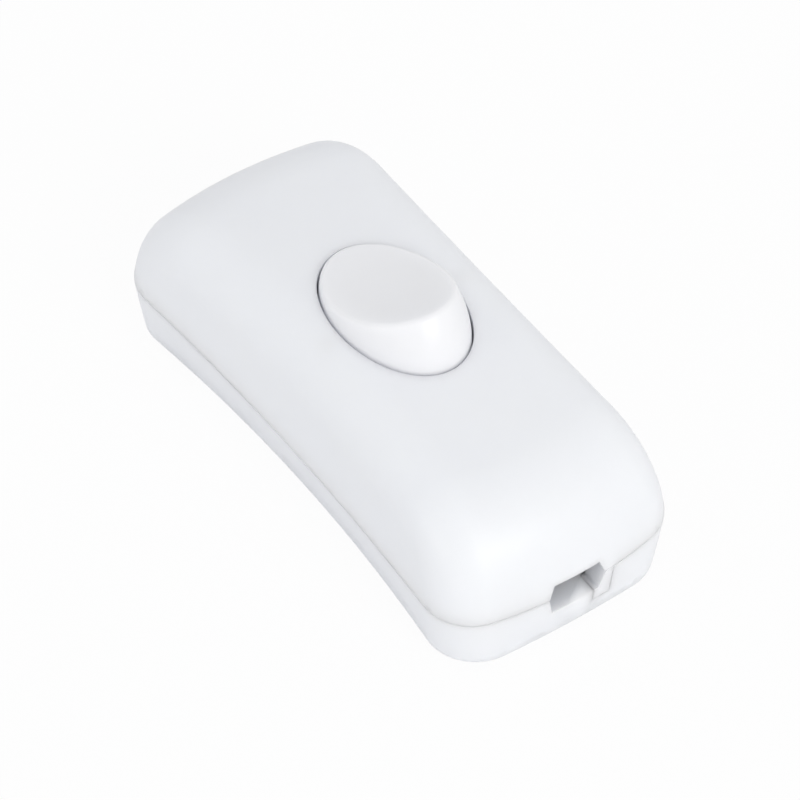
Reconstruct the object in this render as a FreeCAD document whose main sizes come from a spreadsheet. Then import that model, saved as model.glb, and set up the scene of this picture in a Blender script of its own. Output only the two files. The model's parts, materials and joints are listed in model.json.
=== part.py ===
import FreeCAD, Part
import math
import os
import types
import Sketcher

# Inline cord switch in millimetres: +X along the cord, +Z up, origin under the middle of the flat base.
driving = {
    # casing outside
    "case_length": 66.0,
    "case_width": 29.8,  # across the flared corners, at the seam
    "waist_depth": 1.3,  # how far each long side draws in at its middle
    "end_bulge": 2.35,
    "seam_height": 7.5,
    "crown_height": 20.4,
    "crown_drop": 2.95,  # fall of the top from its middle to its ends
    "side_lean": 1.5,  # inward lean of the cover's long sides at crown height
    "end_lean": 1.6,
    "shoulder_round": 5.7,  # long shoulders and upright corners
    "end_round": 12.0,
    "seam_chamfer": 0.15,
    "base_side_lean": 0.6,
    "base_end_lean": 1.2,
    "base_waist_extra": 1.1,
    "base_bulge": 0.5,
    "base_bevel": 0.9,
    # walls and the joint between the two shells
    "wall": 1.9,
    "roof": 1.9,
    "floor": 1.9,
    "lip_inset": 1.1,
    "lip_width": 0.65,
    "lip_rise": 1.0,
    "lip_gap": 0.12,
    # cord entry, a hexagon with its side points on the seam
    "entry_width": 7.1,
    "entry_top_width": 5.7,
    "entry_base_width": 5.9,
    "entry_rise": 1.8,
    "entry_dip": 2.5,
    "key_width": 1.1,
    "key_depth": 4.4,
    "key_shoulder": 0.4,
    "key_gap": 0.08,
    # rocker
    "opening_length": 20.6,
    "opening_width": 13.9,
    "rocker_gap": 0.13,
    "rocker_tilt": 17.0,  # each way from level
    "pivot_depth": 1.9,
    "crest_rise": 5.0,
    "dish_depth": 0.9,
    "crest_round": 0.7,
    "skirt_drop": 1.9,
    "rocker_wall": 1.4,
    "trunnion_radius": 0.9,
    "trunnion_reach": 8.4,
    "turning_gap": 0.05,
    "end_gap": 0.3,
    "cheek_outer": 10.2,
    "cheek_width": 5.2,
    "cheek_drop": 1.9,
    "collar_wall": 1.2,
    "collar_drop": 1.1,
    # stem, plunger and spring
    "stem_radius": 2.9,
    "plunger_radius": 1.5,
    "plunger_gap": 0.08,
    "nose_show": 0.8,
    "plunger_length": 4.9,
    "bore_top": 1.8,
    "spring_wire": 0.22,
    "spring_turns": 5.0,
    "spring_gap": 0.05,
    "spigot_radius": 0.7,
    "spigot_height": 0.8,
    "tip_gap": 0.42,
    # seesaw contact
    "seesaw_tilt": 9.0,
    "seesaw_bend": 12.0,
    "strip_thickness": 0.8,
    "seesaw_width": 4.0,
    "seesaw_arm": 9.3,
    "arm_end_round": 1.2,
    "tab_radius": 0.45,
    "tab_reach": 3.5,
    "tab_gap": 0.1,
    "rivet_reach": 8.1,
    "rivet_radius": 1.2,
    "rivet_height": 0.8,
    "rivet_shank": 0.6,
    "rivet_upset_radius": 0.9,
    "rivet_upset_height": 0.35,
    "rivet_gap": 0.02,
    "contact_gap": 0.1,
    "rest_gap": 0.3,
    # terminals
    "terminal_seat": 4.5,
    "cradle_rise": 4.87,
    "ear_thickness": 0.8,
    "ear_gap": 0.35,
    "ear_width": 4.4,
    "ear_rise": 0.9,
    "strip_end": 2.8,
    "strip_margin": 1.0,
    "block_length": 6.0,
    "block_width": 5.0,
    "block_height": 6.0,
    "block_x": 14.5,
    "block_y": 4.2,
    "neutral_length": 18.0,
    "neutral_width": 4.6,
    "neutral_height": 5.5,
    "neutral_y": 7.9,
    "neutral_seat": 3.6,
    "neutral_screw_x": 6.0,
    "wire_bore": 1.4,
    "wire_bore_lift": 2.4,
    "plate_length": 4.2,
    "plate_width": 4.0,
    "plate_arm": 3.0,
    "block_round": 0.5,
    "tongue_x": 7.6,
    "tongue_length": 1.2,
    "tongue_width": 3.0,
    "well_wall": 0.9,
    "well_length": 3.4,
    "well_rise": 3.6,
    "well_gap": 0.1,
    "barrier_length": 24.0,
    "barrier_rise": 6.0,
    "hold_down_gap": 0.15,
    "hold_down_thickness": 0.8,
    "hold_down_width": 4.0,
    "neutral_hold_x": 3.2,
    "neutral_hold_y": 8.4,
    "neutral_hold_width": 2.4,
    # screws
    "terminal_screw_radius": 1.2,
    "terminal_head_radius": 1.9,
    "terminal_head_height": 1.4,
    "terminal_screw_length": 3.6,
    "clamp_screw_radius": 1.1,
    "clamp_head_radius": 1.9,
    "clamp_head_height": 1.4,
    "clamp_screw_length": 7.0,
    "closing_screw_radius": 1.3,
    "closing_head_radius": 2.5,
    "closing_head_height": 1.5,
    "closing_screw_length": 12.0,
    "slot_width": 0.6,
    "slot_depth": 0.7,
    "thread_gap": 0.05,
    "clearance": 0.25,
    "point_length": 0.8,
    # cord clamps
    "clamp_x": 20.6,
    "clamp_length": 15.0,
    "clamp_width": 4.4,
    "clamp_thickness": 2.0,
    "clamp_end_margin": 2.0,
    "clamp_round": 1.5,
    "post_radius": 2.1,
    "post_rise": 1.3,
    "cord_bed_gap": 0.4,
    "grip_rib_width": 1.0,
    "grip_rib_drop": 1.75,
    "clamp_ridge": 0.5,
    # closing screws
    "closing_end_margin": 6.8,
    "closing_side_margin": 5.7,
    "closing_boss": 2.7,
    "foot_boss": 3.6,
    "counterbore_depth": 2.6,
}

document = FreeCAD.newDocument("inline_cord_switch")
sheet = document.addObject("Spreadsheet::Sheet", "sizes")
for row, (alias, amount) in enumerate(driving.items(), start=1):
    sheet.set(f"A{row}", alias)
    sheet.set(f"B{row}", str(amount))
    sheet.setAlias(f"B{row}", alias)
document.recompute()


class Size:
    # A size that knows its expression on the sheet as well as its present value.
    def __init__(self, text, value):
        self.text = text
        self.value = value

    def __add__(self, other):
        other = sized(other)
        return Size(f"({self.text} + {other.text})", self.value + other.value)

    def __sub__(self, other):
        other = sized(other)
        return Size(f"({self.text} - {other.text})", self.value - other.value)

    def __mul__(self, other):
        other = sized(other)
        return Size(f"({self.text} * {other.text})", self.value * other.value)

    def __truediv__(self, other):
        other = sized(other)
        return Size(f"({self.text} / {other.text})", self.value / other.value)

    def __neg__(self):
        return Size(f"(-1 * {self.text})", -self.value)

    def __radd__(self, other):
        return sized(other) + self

    def __rsub__(self, other):
        return sized(other) - self

    def __rmul__(self, other):
        return sized(other) * self


def sized(amount):
    return amount if isinstance(amount, Size) else Size(repr(float(amount)), float(amount))


def sine(angle):
    return Size(f"sin({angle.text} * 1 deg)", math.sin(math.radians(angle.value)))


def cosine(angle):
    return Size(f"cos({angle.text} * 1 deg)", math.cos(math.radians(angle.value)))


s = types.SimpleNamespace(**{alias: Size(f"sizes.{alias}", amount) for alias, amount in driving.items()})


def bind(item, path, amount):
    item.setExpression(path, sized(amount).text)


def checked(item):
    # Recomputes, and stops at the first feature that failed.
    document.recompute()
    if "Invalid" in item.State or "Error" in item.State or item.Shape.isNull():
        raise RuntimeError(f"{item.Label} failed: {item.State}")
    return item


# Sketches


def new_sketch(body, role, name, lift=0.0):
    # On one of the body's own origin planes, lifted along that plane's normal.
    sketch = body.newObject("Sketcher::SketchObject", name)
    plane = next(item for item in body.Origin.OriginFeatures if item.Role == role)
    sketch.AttachmentSupport = [(plane, "")]
    sketch.MapMode = "FlatFace"
    bind(sketch, "AttachmentOffset.Base.z", lift)
    return sketch


def constrain(sketch, kind, *arguments):
    # A constraint whose last argument is its size, bound to the sheet.
    amount = sized(arguments[-1])
    index = sketch.addConstraint(Sketcher.Constraint(kind, *arguments[:-1], amount.value))
    bind(sketch, f"Constraints[{index}]", amount)


def pin(sketch, curve, place, across, up):
    # Holds a point of a curve at its distances from the sketch's axes.
    for kind, axis, amount in (("DistanceX", -2, across), ("DistanceY", -1, up)):
        if isinstance(amount, Size):
            constrain(sketch, kind, -1, 1, curve, place, amount)
        else:
            sketch.addConstraint(Sketcher.Constraint("PointOnObject", curve, place, axis))


def vector(across, up):
    return FreeCAD.Vector(sized(across).value, sized(up).value, 0)


def draw_polygon(sketch, corners):
    first = sketch.GeometryCount
    count = len(corners)
    for index in range(count):
        start = vector(*corners[index])
        finish = vector(*corners[(index + 1) % count])
        sketch.addGeometry(Part.LineSegment(start, finish), False)
    for index in range(count):
        following = first + (index + 1) % count
        sketch.addConstraint(Sketcher.Constraint("Coincident", first + index, 2, following, 1))
        pin(sketch, first + index, 1, *corners[index])


def draw_rectangle(sketch, left, right, low, high):
    draw_polygon(sketch, [(left, low), (right, low), (right, high), (left, high)])


def draw_circle(sketch, across, up, radius):
    centre = vector(across, up)
    curve = sketch.addGeometry(Part.Circle(centre, FreeCAD.Vector(0, 0, 1), sized(radius).value), False)
    pin(sketch, curve, 3, across, up)
    constrain(sketch, "Radius", curve, radius)


def draw_waisted_outline(sketch, half_length, half_width, half_waist, bulge):
    # Bulged ends and hollow long sides, each one arc between the corners.
    corner_x = half_length - bulge
    hollow = half_width - half_waist
    end_radius = (half_width * half_width + bulge * bulge) / (2 * bulge)
    side_radius = (corner_x * corner_x + hollow * hollow) / (2 * hollow)
    end_sweep = math.asin(half_width.value / end_radius.value)
    side_sweep = math.asin(corner_x.value / side_radius.value)
    end_centre = half_length.value - end_radius.value
    side_centre = half_waist.value + side_radius.value
    quarter = math.pi / 2

    def arc(centre_x, centre_y, radius, middle, sweep):
        circle = Part.Circle(FreeCAD.Vector(centre_x, centre_y, 0), FreeCAD.Vector(0, 0, 1), radius.value)
        curve = sketch.addGeometry(Part.ArcOfCircle(circle, middle - sweep, middle + sweep), False)
        constrain(sketch, "Radius", curve, radius)
        return curve

    def join(curve, point, other, other_point):
        sketch.addConstraint(Sketcher.Constraint("Coincident", curve, point, other, other_point))

    near_end = arc(end_centre, 0, end_radius, 0, end_sweep)
    far_end = arc(-end_centre, 0, end_radius, 2 * quarter, end_sweep)
    high_side = arc(0, side_centre, side_radius, -quarter, side_sweep)
    low_side = arc(0, -side_centre, side_radius, quarter, side_sweep)
    pin(sketch, near_end, 1, corner_x, -half_width)
    pin(sketch, near_end, 2, corner_x, half_width)
    pin(sketch, far_end, 1, -corner_x, half_width)
    pin(sketch, far_end, 2, -corner_x, -half_width)
    join(near_end, 2, high_side, 2)
    join(high_side, 1, far_end, 1)
    join(far_end, 2, low_side, 2)
    join(low_side, 1, near_end, 1)


# Features of a body


def new_body(name):
    return document.addObject("PartDesign::Body", name)


def extruded(body, kind, sketch, length, backwards=False, both=False):
    feature = body.newObject(kind, kind.split("::")[1])
    feature.Profile = sketch
    bind(feature, "Length", length)
    feature.Reversed = backwards
    if both:
        feature.SideType = "Symmetric"
    checked(feature)
    if kind.endswith("Pocket") and feature.Shape.Volume > feature.BaseFeature.Shape.Volume - 1e-6:
        raise RuntimeError(f"{sketch.Label} in {body.Label} cuts nothing")
    return feature


def pad(body, sketch, length, **options):
    return extruded(body, "PartDesign::Pad", sketch, length, **options)


def pocket(body, sketch, length, **options):
    return extruded(body, "PartDesign::Pocket", sketch, length, **options)


def plate(body, role, name, lift, thickness, corners, kind="PartDesign::Pad", **options):
    # One flat outline, extruded from the given lift.
    sketch = new_sketch(body, role, name, lift)
    draw_polygon(sketch, corners)
    return extruded(body, kind, sketch, thickness, **options)


def cut_from(body, name, start, depth, draw):
    # Cuts upwards from a height, over whatever outline draw() puts on the sketch.
    sketch = new_sketch(body, "XY_Plane", name, start)
    draw(sketch)
    return pocket(body, sketch, depth, backwards=True)


def dress(body, kind, name, path, amount, wanted):
    # A fillet or chamfer on the edges of the body's tip that pass the test.
    base = body.Tip
    names = [f"Edge{index + 1}" for index, edge in enumerate(base.Shape.Edges) if wanted(edge)]
    feature = body.newObject(kind, name)
    feature.Base = (base, names)
    bind(feature, path, amount)
    return checked(feature)


def fillet(body, name, radius, wanted):
    return dress(body, "PartDesign::Fillet", name, "Radius", radius, wanted)


def turned(body, name, profile, plane="XZ_Plane"):
    # A solid of revolution about +Z from an outline whose first side lies on the axis.
    sketch = new_sketch(body, plane, name)
    draw_polygon(sketch, profile)
    feature = body.newObject("PartDesign::Revolution", "Revolution")
    feature.Profile = sketch
    feature.ReferenceAxis = (sketch, ["V_Axis"])
    feature.Angle = 360
    return checked(feature)


# Part workbench objects, with their sizes bound to the sheet


def primitive(kind, name, x=0.0, y=0.0, z=0.0, **amounts):
    item = document.addObject(kind, name)
    for path, amount in amounts.items():
        bind(item, path, amount)
    for axis, amount in (("x", x), ("y", y), ("z", z)):
        bind(item, f"Placement.Base.{axis}", amount)
    return item


def box(name, x, y, z, length, width, height):
    # Centred on x and y, and standing on z.
    return primitive(
        "Part::Box", name, x - length / 2, y - width / 2, z, Length=length, Width=width, Height=height
    )


def turn(item, x, y, z, angle):
    # Turns an item about the axis by an angle from the sheet, in degrees.
    for axis, amount in (("x", x), ("y", y), ("z", z)):
        bind(item, f"Placement.Rotation.Axis.{axis}", amount)
    bind(item, "Placement.Rotation.Angle", angle)


def place(item, x=0.0, y=0.0, z=0.0):
    for axis, amount in (("x", x), ("y", y), ("z", z)):
        bind(item, f"Placement.Base.{axis}", amount)


def fuse(name, *items):
    result = document.addObject("Part::MultiFuse", name)
    result.Shapes = list(items)
    return checked(result)


def cut(name, base, tool):
    result = document.addObject("Part::Cut", name)
    result.Base = base
    result.Tool = tool
    checked(result)
    if result.Shape.Volume > base.Shape.Volume - 1e-6:
        raise RuntimeError(f"{name} cuts nothing")
    return result


def common(name, base, tool):
    result = document.addObject("Part::Common", name)
    result.Base = base
    result.Tool = tool
    return checked(result)


def oval_prism(name, half_long, half_wide, start, height):
    # An elliptical column, its long axis along X.
    ring = primitive("Part::Ellipse", name + "_ring", z=start, MajorRadius=half_long, MinorRadius=half_wide)
    column = document.addObject("Part::Extrusion", name)
    column.Base = ring
    column.DirMode = "Custom"
    column.Dir = FreeCAD.Vector(0, 0, 1)
    column.Solid = True
    bind(column, "LengthFwd", height)
    return checked(column)


# Places worked out once from the driving sizes

half_length = s.case_length / 2
half_width = s.case_width / 2
half_waist = half_width - s.waist_depth
pivot_height = s.crown_height - s.pivot_depth
rocker_radius = s.opening_length / 2 - s.rocker_gap
rocker_half_width = s.opening_width / 2 - s.rocker_gap
half_strip = s.strip_thickness / 2
arm_slope = s.seesaw_bend - s.seesaw_tilt
seesaw_height = s.terminal_seat + s.cradle_rise
nose_to_strip = s.plunger_radius + s.tip_gap + half_strip
nose_reach = ((pivot_height - seesaw_height) * cosine(arm_slope) - nose_to_strip) / cosine(
    s.rocker_tilt - arm_slope
)
plunger_reach = nose_reach + s.plunger_radius
stem_drop = nose_reach - s.nose_show
rivet_drop = half_strip + s.rivet_height
closed_contact_height = (
    seesaw_height
    + sine(arm_slope) * (s.rivet_reach - s.rivet_radius)
    - cosine(arm_slope) * rivet_drop
    - s.contact_gap
)
closed_contact_x = cosine(arm_slope) * s.rivet_reach
block_top = s.terminal_seat + s.block_height
neutral_top = s.neutral_seat + s.neutral_height
post_top = s.seam_height + s.post_rise
closing_x = half_length - s.closing_end_margin
closing_y = half_width - s.closing_side_margin
clamp_screw_y = s.clamp_length / 2 - s.clamp_end_margin
far_past = s.case_length  # comfortably beyond the casing


# The casing


def near(value, target):
    return abs(value - target) < 0.02


def flat_at(edge, height):
    return all(near(point.Z, height) for point in edge.Vertexes)


def upright(edge):
    box_ = edge.BoundBox
    return box_.ZLength > 3 * max(box_.XLength, box_.YLength)


def shell_form(name, far_level, inset):
    # A block between the seam's outline and another, which is given as its height, how far its sides,
    # waist and ends stand inside the seam's, and its end bulge.
    body = new_body(name)
    sections = []
    seam_level = (s.seam_height, 0.0, 0.0, 0.0, s.end_bulge)
    for label, level in (("seam", seam_level), ("far", far_level)):
        height, side_in, waist_in, end_in, bulge = level
        sketch = new_sketch(body, "XY_Plane", label, height)
        side = inset + side_in
        long_half = half_length - inset - end_in
        waist_half = half_waist - side - waist_in
        draw_waisted_outline(sketch, long_half, half_width - side, waist_half, bulge)
        sections.append(sketch)
    feature = body.newObject("PartDesign::AdditiveLoft", "walls")
    feature.Profile = sections[0]
    feature.Sections = sections[1:]
    feature.Ruled = True
    checked(feature)
    return body


def corner_upright(edge):
    return upright(edge) and abs(edge.CenterOfMass.x) > 0.8 * half_length.value


def cover_form(name, inset, top):
    # The cover's outside, or its inside at a wall's inset: leaning walls under a crowned top.
    body = shell_form(name, (s.crown_height, s.side_lean, 0.0, s.end_lean, s.end_bulge), inset)
    sketch = new_sketch(body, "XZ_Plane", "crown")
    crown_radius = (half_length * half_length + s.crown_drop * s.crown_drop) / (2 * s.crown_drop)
    reach = half_length + 2.0
    fall = crown_radius.value - math.sqrt(crown_radius.value**2 - reach.value**2)
    lid = s.crown_height + s.crown_drop
    edge_z = top.value - fall
    centre = FreeCAD.Vector(0, top.value - crown_radius.value, 0)
    sweep = math.asin(reach.value / crown_radius.value)
    circle = Part.Circle(centre, FreeCAD.Vector(0, 0, 1), crown_radius.value)
    arc = sketch.addGeometry(Part.ArcOfCircle(circle, math.pi / 2 - sweep, math.pi / 2 + sweep), False)
    corners = [
        FreeCAD.Vector(-reach.value, edge_z, 0),
        FreeCAD.Vector(-reach.value, lid.value, 0),
        FreeCAD.Vector(reach.value, lid.value, 0),
        FreeCAD.Vector(reach.value, edge_z, 0),
    ]
    left, lid_line, right = [
        sketch.addGeometry(Part.LineSegment(corners[index], corners[index + 1]), False) for index in range(3)
    ]
    for curve, place_, other, other_place in (
        (arc, 2, left, 1),
        (left, 2, lid_line, 1),
        (lid_line, 2, right, 1),
        (right, 2, arc, 1),
    ):
        sketch.addConstraint(Sketcher.Constraint("Coincident", curve, place_, other, other_place))
    pin(sketch, arc, 3, 0, top - crown_radius)
    constrain(sketch, "Radius", arc, crown_radius)
    pin(sketch, lid_line, 1, -reach, lid)
    pin(sketch, lid_line, 2, reach, lid)
    sketch.addConstraint(Sketcher.Constraint("Vertical", left))
    sketch.addConstraint(Sketcher.Constraint("Vertical", right))
    pocket(body, sketch, far_past, both=True)
    mid_z = (s.seam_height.value + s.crown_height.value) / 2

    def top_end(edge):
        spans = edge.BoundBox.YLength > 1.2 * half_width.value
        return spans and edge.CenterOfMass.z > mid_z

    fillet(body, "end_roll", s.end_round - inset, top_end)

    def side_rim(edge):
        middle = edge.CenterOfMass
        beside = abs(middle.y) > 0.6 * half_width.value and edge.BoundBox.YLength < 0.5 * half_width.value
        return corner_upright(edge) or (beside and middle.z > s.seam_height.value + 0.5 and not upright(edge))

    fillet(body, "shoulders", s.shoulder_round - inset, side_rim)
    return body


def tray_form(name, inset, base):
    # The tray's outside, or its inside at a wall's inset: walls drawing in to a flat base.
    leans = (s.base_side_lean, s.base_waist_extra, s.base_end_lean)
    body = shell_form(name, (base, *leans, s.base_bulge), inset)
    fillet(body, "corners", s.shoulder_round - inset, corner_upright)
    return body


def draw_entry(sketch):
    # Hexagonal cord entry, seen along X.
    half_seam = s.entry_width / 2
    half_top = s.entry_top_width / 2
    half_base = s.entry_base_width / 2
    top = s.seam_height + s.entry_rise
    low = s.seam_height - s.entry_dip
    draw_polygon(
        sketch,
        [
            (-half_seam, s.seam_height),
            (-half_base, low),
            (half_base, low),
            (half_seam, s.seam_height),
            (half_top, top),
            (-half_top, top),
        ],
    )


def bevel(body, name, size, height):
    # A chamfer on every edge that lies at a height.
    dress(body, "PartDesign::Chamfer", name, "Size", size, lambda edge: flat_at(edge, height.value))


def both_ends(draw_one):
    # The same drawing at one end and, turned half a turn, at the other.
    def draw(sketch):
        for sign in (1, -1):
            draw_one(sketch, sign)

    return draw


def closing_circles(radius):
    def draw_one(sketch, sign):
        draw_circle(sketch, closing_x * sign, -closing_y * sign, radius)

    return both_ends(draw_one)


def key_block(name, grow, low, high):
    # Beside each cord entry, the width of the cover's keying tab grown by a clearance.
    blocks = []
    inner = s.entry_base_width / 2 - s.key_width / 2
    width = s.entry_width / 2 + s.key_width - inner + grow
    for sign in (1, -1):
        centre_x = (half_length - s.wall / 2) * sign
        centre_y = (inner + width / 2) * sign
        blocks.append(box(f"{name}_{sign + 2}", centre_x, centre_y, low, s.wall * 2, width, high - low))
    return fuse(name, *blocks)


def rim_slab(name, inset, height):
    # A slab standing on the seam, inset from its outline.
    body = new_body(name)
    sketch = new_sketch(body, "XY_Plane", "outline", s.seam_height)
    draw_waisted_outline(
        sketch, half_length - inset, half_width - inset, half_waist - inset, s.end_bulge
    )
    pad(body, sketch, height)
    fillet(body, "corners", s.shoulder_round - inset, corner_upright)
    return body


def rim_ring(name, outer_inset, inner_inset, height):
    outer = rim_slab(name + "_outer", outer_inset, height)
    inner = rim_slab(name + "_inner", inner_inset, height)
    return cut(name, outer, inner)


def entry_prism(name, lift):
    body = new_body(name)
    sketch = new_sketch(body, "YZ_Plane", "hexagon", lift)
    draw_entry(sketch)
    pad(body, sketch, s.wall * 3)
    return body


def opening_column(name, grow, start):
    return oval_prism(name, s.opening_length / 2 + grow, s.opening_width / 2 + grow, start, far_past)


def hold_down_rectangles(sketch):
    # Ribs that hold the two pillar terminals and the neutral terminal down.
    thick = s.hold_down_thickness
    far_edge = s.block_x + s.block_length / 2
    low = s.block_y - s.hold_down_width / 2
    draw_rectangle(sketch, far_edge - thick, far_edge, low, low + s.hold_down_width)
    draw_rectangle(sketch, -far_edge, thick - far_edge, low, low + s.hold_down_width)


def neutral_rectangle(sketch):
    half = s.hold_down_thickness / 2
    side = s.neutral_hold_width / 2
    draw_rectangle(
        sketch, s.neutral_hold_x - half, s.neutral_hold_x + half, -s.neutral_hold_y - side, side - s.neutral_hold_y
    )


def cheek_rectangle(sketch):
    half = s.cheek_width / 2
    draw_rectangle(sketch, -half, half, -s.cheek_outer, s.cheek_outer)


cover_outside = cover_form("cover_outside", sized(0.0), s.crown_height)
tray_outside = tray_form("tray_outside", sized(0.0), sized(0.0))
key_low = s.seam_height - s.key_depth
tab_form = tray_form("tab_form", sized(0.0), sized(0.0))
key_tabs = common("key_tabs", tab_form, key_block("tab_blocks", sized(0.0), key_low, s.seam_height))
bevel(cover_outside, "seam_edge", s.seam_chamfer, s.seam_height)
bevel(tray_outside, "seam_edge", s.seam_chamfer, s.seam_height)
bevel(tray_outside, "base_edge", s.base_bevel, sized(0.0))
entries = fuse(
    "entries",
    entry_prism("near_entry", half_length - s.wall * 2),
    entry_prism("far_entry", -half_length - s.wall),
)

# The cover: its core leaves the bosses, bearing cheeks, hold-down ribs and collar standing

screw_tip = s.counterbore_depth + s.closing_screw_length
cut_from(
    cover_outside, "pilots", s.seam_height, screw_tip + s.clearance - s.seam_height,
    closing_circles(s.closing_screw_radius + s.thread_gap),
)
cover_inside = cover_form("cover_inside", s.wall, s.crown_height - s.roof)
cut_from(cover_inside, "bosses", s.seam_height, far_past, closing_circles(s.closing_boss))
cut_from(cover_inside, "cheeks", pivot_height - s.cheek_drop, far_past, cheek_rectangle)
cut_from(cover_inside, "hold_downs", block_top + s.hold_down_gap, far_past, hold_down_rectangles)
cut_from(cover_inside, "neutral_hold", neutral_top + s.hold_down_gap, far_past, neutral_rectangle)
collar_low = pivot_height - s.collar_drop
cover_core = cut("cover_core", cover_inside, opening_column("collar", s.collar_wall, collar_low))
bearing_radius = s.trunnion_radius + s.turning_gap
bearing_length = 2 * (s.trunnion_reach + s.end_gap)
bearing_bore = primitive(
    "Part::Cylinder", "bearing_bore", y=bearing_length / 2, z=pivot_height, Radius=bearing_radius,
    Height=bearing_length,
)
turn(bearing_bore, 1, 0, 0, 90)
slot_low = pivot_height - s.cheek_drop - 1.0
bearing_slot = box(
    "bearing_slot", sized(0.0), sized(0.0), slot_low, 2 * bearing_radius, bearing_length,
    pivot_height - slot_low,
)
rebate_ring = rim_ring(
    "rebate_ring", s.lip_inset - s.lip_gap, s.wall + s.lip_gap, s.lip_rise + s.lip_gap
)
lip_clear = s.seam_height + s.lip_rise * 2
key_keep = key_block("key_keep", s.key_shoulder, key_low, lip_clear)
rebate = cut("rebate", rebate_ring, key_keep)
opening = opening_column("opening", sized(0.0), slot_low)
cover_walls = cut("cover_walls", cover_outside, cover_core)
cover_opened = cut("cover_opened", cover_walls, opening)
cover_slotted = cut("cover_slotted", cover_opened, fuse("bearing", bearing_bore, bearing_slot))
cover_shell = cut("cover_shell", cover_slotted, rebate)
keyed_cover = fuse("keyed_cover", cover_shell, key_tabs)
upper_shell = cut("upper_shell", keyed_cover, entries)

# The tray: an open shell with a lip, and the moulded fittings on its floor

cut_from(
    tray_outside, "screw_holes", sized(0.0), far_past, closing_circles(s.closing_screw_radius + s.clearance)
)
tray_inside = tray_form("tray_inside", s.wall, s.floor)
cut_from(tray_inside, "foot_bosses", sized(0.0), far_past, closing_circles(s.foot_boss))
head_recess = s.closing_head_radius + s.clearance
sink = new_sketch(tray_outside, "XY_Plane", "head_recesses", sized(0.0))
closing_circles(head_recess)(sink)
pocket(tray_outside, sink, s.counterbore_depth, backwards=True)
tray_hollow = cut("tray_hollow", tray_outside, tray_inside)
lip = rim_ring("lip", s.lip_inset, s.lip_inset + s.lip_width, s.lip_rise)

fittings = new_body("fittings")
sunk = s.floor / 2


def stand(name, top, draw):
    # A fitting rising from inside the floor to a height.
    sketch = new_sketch(fittings, "XY_Plane", name, sunk)
    draw(sketch)
    return pad(fittings, sketch, top - sunk)


def clamp_circles(radius):
    def draw(sketch):
        for end in (1, -1):
            for side in (1, -1):
                draw_circle(sketch, s.clamp_x * end, clamp_screw_y * side, radius)

    return draw


def block_rectangles(sketch):
    half = s.block_length / 2
    low = s.block_y - s.block_width / 2
    high = low + s.block_width
    draw_rectangle(sketch, s.block_x - half, s.block_x + half, low, high)
    draw_rectangle(sketch, -s.block_x - half, half - s.block_x, low, high)


def well_rectangles(sketch):
    # A wall along each side of each pillar terminal.
    half = s.well_length / 2
    for side in (1, -1):
        inner = s.block_y + (s.block_width / 2 + s.well_gap) * side
        outer = inner + s.well_wall * side
        low, high = (inner, outer) if side == 1 else (outer, inner)
        for end in (1, -1):
            middle = s.block_x * end
            draw_rectangle(sketch, middle - half, middle + half, low, high)


ear_outer = s.seesaw_width / 2 + s.ear_gap + s.ear_thickness
tongue_end = s.tongue_x + s.tongue_length / 2 + s.strip_margin
plate_inner = s.plate_length / 2 - closed_contact_x
plate_outer = s.block_length / 2 - s.block_x - s.rivet_gap
plate_top = closed_contact_height - s.rivet_height
plate_low = plate_top - s.strip_thickness
barrier_y = -s.neutral_y + s.neutral_width / 2 + s.well_gap
stand("clamp_posts", post_top, clamp_circles(s.post_radius))
stand("block_plinths", s.terminal_seat, block_rectangles)
stand("wells", s.terminal_seat + s.well_rise, well_rectangles)
stand(
    "strip_plinth", s.terminal_seat,
    lambda sketch: draw_rectangle(sketch, -s.strip_end, tongue_end, -ear_outer, ear_outer),
)
stand(
    "plate_plinth", plate_low,
    lambda sketch: draw_rectangle(
        sketch, plate_outer + s.strip_margin, plate_inner - s.strip_margin / 2, -s.plate_width / 2, s.plate_width / 2
    ),
)
stand(
    "neutral_plinth", s.neutral_seat,
    lambda sketch: draw_rectangle(
        sketch, -s.neutral_length / 2, s.neutral_length / 2, -s.neutral_y - s.neutral_width / 2,
        s.neutral_width / 2 - s.neutral_y,
    ),
)
stand(
    "barrier", s.floor + s.barrier_rise,
    lambda sketch: draw_rectangle(
        sketch, -s.barrier_length / 2, s.barrier_length / 2, barrier_y, barrier_y + s.well_wall
    ),
)


def grip_rectangles(sketch):
    half = s.grip_rib_width / 2
    side = s.entry_base_width / 2
    for end in (1, -1):
        draw_rectangle(sketch, s.clamp_x * end - half, s.clamp_x * end + half, -side, side)


def bed_rectangles(sketch):
    # Under the cord, from its entry in to the clamp.
    inner = s.clamp_x + s.clamp_width / 2 + s.cord_bed_gap
    outer = half_length - s.wall
    side = s.entry_base_width / 2
    draw_rectangle(sketch, inner, outer, -side, side)
    draw_rectangle(sketch, -outer, -inner, -side, side)


stand("grip_ribs", s.seam_height - s.grip_rib_drop, grip_rectangles)
stand("cord_beds", s.seam_height - s.entry_dip, bed_rectangles)
clamp_pilot_low = post_top + s.clamp_thickness - s.clamp_screw_length - s.clearance
cut_from(
    fittings, "clamp_pilots", clamp_pilot_low, far_past, clamp_circles(s.clamp_screw_radius + s.thread_gap)
)
cut_from(
    fittings, "rivet_relief", plate_low - s.rivet_upset_height - s.clearance, far_past,
    lambda sketch: draw_circle(sketch, -closed_contact_x, 0, s.rivet_upset_radius + s.clearance),
)
key_notches = fuse(
    "key_notches",
    key_block("tab_notches", s.key_gap, key_low - s.key_gap, lip_clear),
    key_block("lip_notches", s.key_shoulder + s.key_gap, s.seam_height, lip_clear),
)
tray_blank = fuse("tray_blank", tray_hollow, lip, fittings)
lower_shell = cut("lower_shell", tray_blank, fuse("tray_tools", entries, key_notches))

# The rocker, modelled about its pivot and level, then tilted


def root(amount):
    return Size(f"sqrt({amount.text})", math.sqrt(amount.value))


def at_pivot(item):
    place(item, z=pivot_height)
    turn(item, 0, 1, 0, -s.rocker_tilt)


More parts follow.
